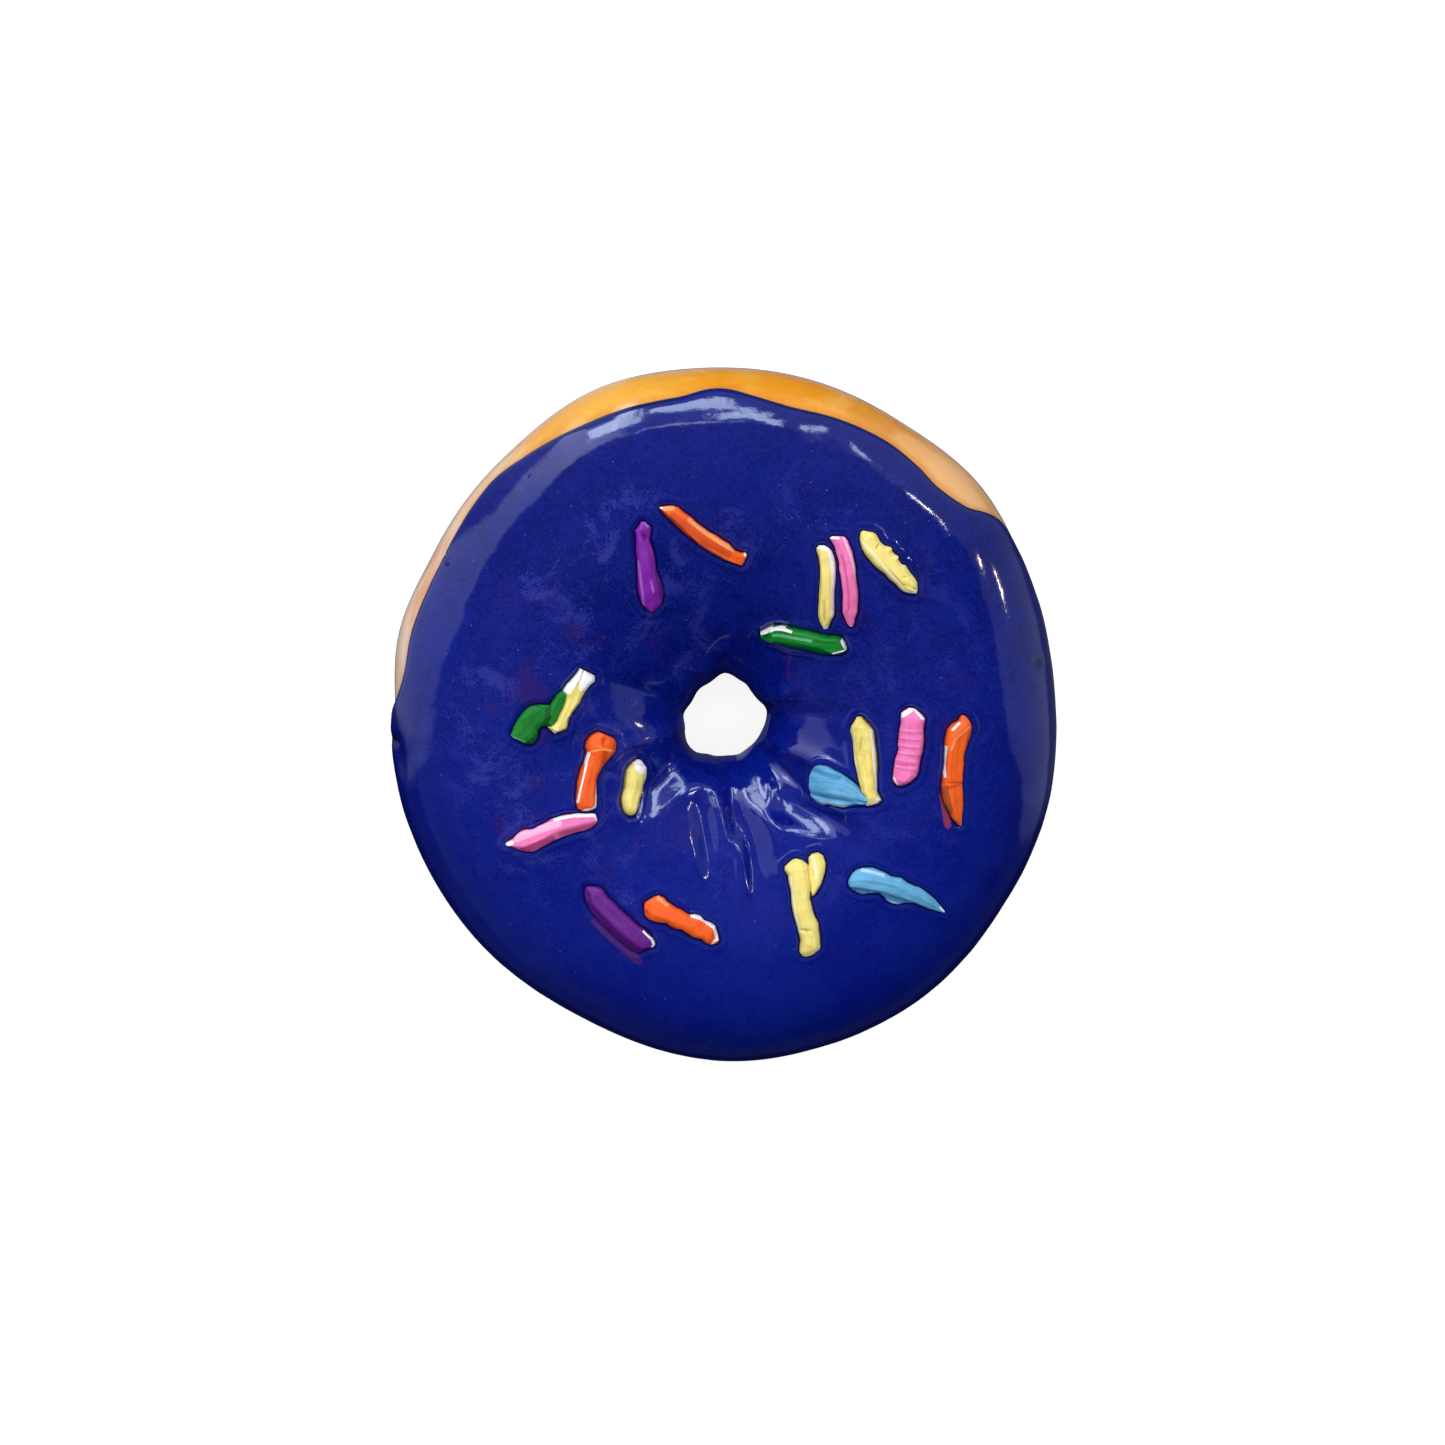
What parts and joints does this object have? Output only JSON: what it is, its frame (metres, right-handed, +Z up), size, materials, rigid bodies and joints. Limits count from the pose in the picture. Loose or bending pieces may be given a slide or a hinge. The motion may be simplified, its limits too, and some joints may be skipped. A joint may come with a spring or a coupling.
{
  "type": "glazed ceramic sprinkle doughnut",
  "caption": "Life-size ceramic copy of a frosted ring doughnut: tan crust, raised deep blue icing, puckered hole and painted sprinkle bars.",
  "frame": {"origin": "middle of the foot, on the surface that the doughnut stands on", "axes": "+Z up through the hole, +Y towards the side where the icing's edge runs high and the crust shows, +X to the right of it seen from above"},
  "size_m": [0.0932, 0.0976, 0.0301],
  "materials": {
    "blue_glaze": "high gloss, deep cobalt, slightly cloudy",
    "tan_glaze": "gloss, golden tan with brush streaks",
    "bare_clay": "matte, fine grained, unglazed foot",
    "orange_paint": "matte brushed paint",
    "yellow_paint": "matte brushed paint",
    "pink_paint": "matte brushed paint",
    "green_paint": "satin brushed paint",
    "sky_paint": "matte brushed paint",
    "purple_paint": "satin brushed paint"
  },
  "bodies": {
    "root": {"doughnut": "blue_glaze"}
  },
  "joints": []
}
